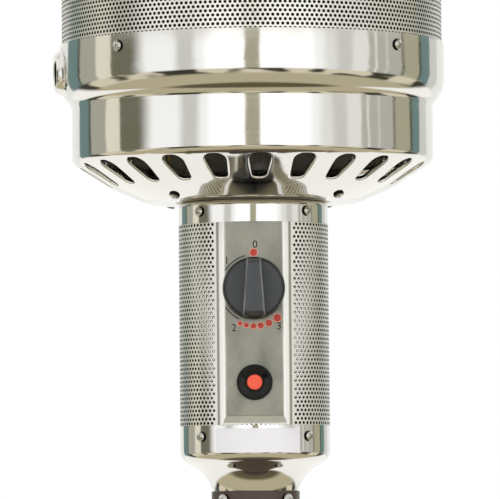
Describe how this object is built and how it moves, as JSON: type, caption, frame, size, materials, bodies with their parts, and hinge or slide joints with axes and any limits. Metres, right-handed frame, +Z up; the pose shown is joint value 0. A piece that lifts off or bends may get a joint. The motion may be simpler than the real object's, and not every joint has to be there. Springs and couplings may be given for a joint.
{
  "type": "gas patio heater",
  "caption": "Free-standing gas patio heater: wheeled base, lifting tank housing, brown pole, control housing with knob and igniter, slotted burner bowl, perforated emitter and reflector dome.",
  "frame": {"origin": "centre of the base on the floor, under the pole's axis", "axes": "+Z up along the pole, controls face -Y, +X to the right of someone facing the controls"},
  "size_m": [0.83, 0.83, 2.1495],
  "materials": {
    "mocha_paint": "semi-matte mocha brown powder coat",
    "polished_steel": "polished stainless sheet",
    "satin_steel": "satin brushed stainless sheet",
    "fastener_steel": "bright zinc-plated steel",
    "knob_plastic": "moulded slate-grey plastic",
    "black_plastic": "moulded black plastic",
    "red_plastic": "glossy orange-red plastic",
    "brass": "machined brass",
    "cast_alloy": "die-cast alloy",
    "reflector_aluminium": "spun aluminium",
    "electrode_ceramic": "white glazed ceramic"
  },
  "bodies": {
    "root": {"base_plate": "mocha_paint", "support_leg_rear": "mocha_paint", "support_leg_left": "mocha_paint", "support_leg_right": "mocha_paint", "pole_socket": "mocha_paint", "pole": "mocha_paint", "wheel_bracket": "mocha_paint", "neck_cup": "polished_steel", "housing_wrap": "polished_steel", "housing_cap": "polished_steel", "burner_bowl": "polished_steel", "emitter_screen": "polished_steel", "emitter_lid": "polished_steel", "control_panel": "satin_steel", "tilt_bracket": "satin_steel", "burner_pan": "satin_steel", "venturi_tube": "satin_steel", "burner_head": "satin_steel", "leg_foot_bolts": "fastener_steel", "leg_top_bolts": "fastener_steel", "pole_bolts": "fastener_steel", "bracket_bolts": "fastener_steel", "axle": "fastener_steel", "axle_caps": "fastener_steel", "housing_screws": "fastener_steel", "valve_screws": "fastener_steel", "stem_spring": "fastener_steel", "igniter_spring": "fastener_steel", "dish_screws": "fastener_steel", "band_screws": "fastener_steel", "reflector_posts": "fastener_steel", "reflector_washers": "fastener_steel", "wing_nuts": "fastener_steel", "igniter_body": "black_plastic", "igniter_nut": "black_plastic", "tilt_switch": "black_plastic", "inlet_fitting": "brass", "burner_orifice": "brass", "pilot_burner": "brass", "thermocouple": "brass", "gas_valve": "cast_alloy", "outlet_tube": "cast_alloy", "pilot_tube": "cast_alloy", "reflector": "reflector_aluminium", "spark_electrode": "electrode_ceramic"},
    "tank_housing": {"tank_shell": "mocha_paint", "tank_top": "mocha_paint", "tank_screws": "fastener_steel", "pole_collar": "black_plastic"},
    "valve_rotor": {"valve_plug": "brass"},
    "knob": {"control_knob": "knob_plastic", "valve_stem": "fastener_steel"},
    "igniter_button": {"igniter_button": "red_plastic"},
    "wheel_left": {"wheel_left": "black_plastic"},
    "wheel_right": {"wheel_right": "black_plastic"}
  },
  "joints": [
    {"name": "tank_housing_lift", "type": "slide", "parent": "root", "child": "tank_housing", "axis": [0, 0, 1], "range_m": [0, 0.55]},
    {"name": "knob_turn", "type": "hinge", "parent": "root", "child": "valve_rotor", "pos_m": [0, -0.04, 1.616], "axis": [0, -1, 0], "range_deg": [0, 217]},
    {"name": "knob_push", "type": "slide", "parent": "valve_rotor", "child": "knob", "axis": [0, 1, 0], "range_m": [0, 0.004], "stiffness_N_per_m": 1500, "deforming": ["stem_spring"]},
    {"name": "igniter_press", "type": "slide", "parent": "root", "child": "igniter_button", "axis": [0, 1, 0], "range_m": [0, 0.006], "stiffness_N_per_m": 1200, "deforming": ["igniter_spring"]},
    {"name": "wheel_left_spin", "type": "hinge", "parent": "root", "child": "wheel_left", "pos_m": [-0.072, 0.29, 0.072], "axis": [1, 0, 0], "continuous": true},
    {"name": "wheel_right_spin", "type": "hinge", "parent": "root", "child": "wheel_right", "pos_m": [0.072, 0.29, 0.072], "axis": [1, 0, 0], "continuous": true}
  ]
}
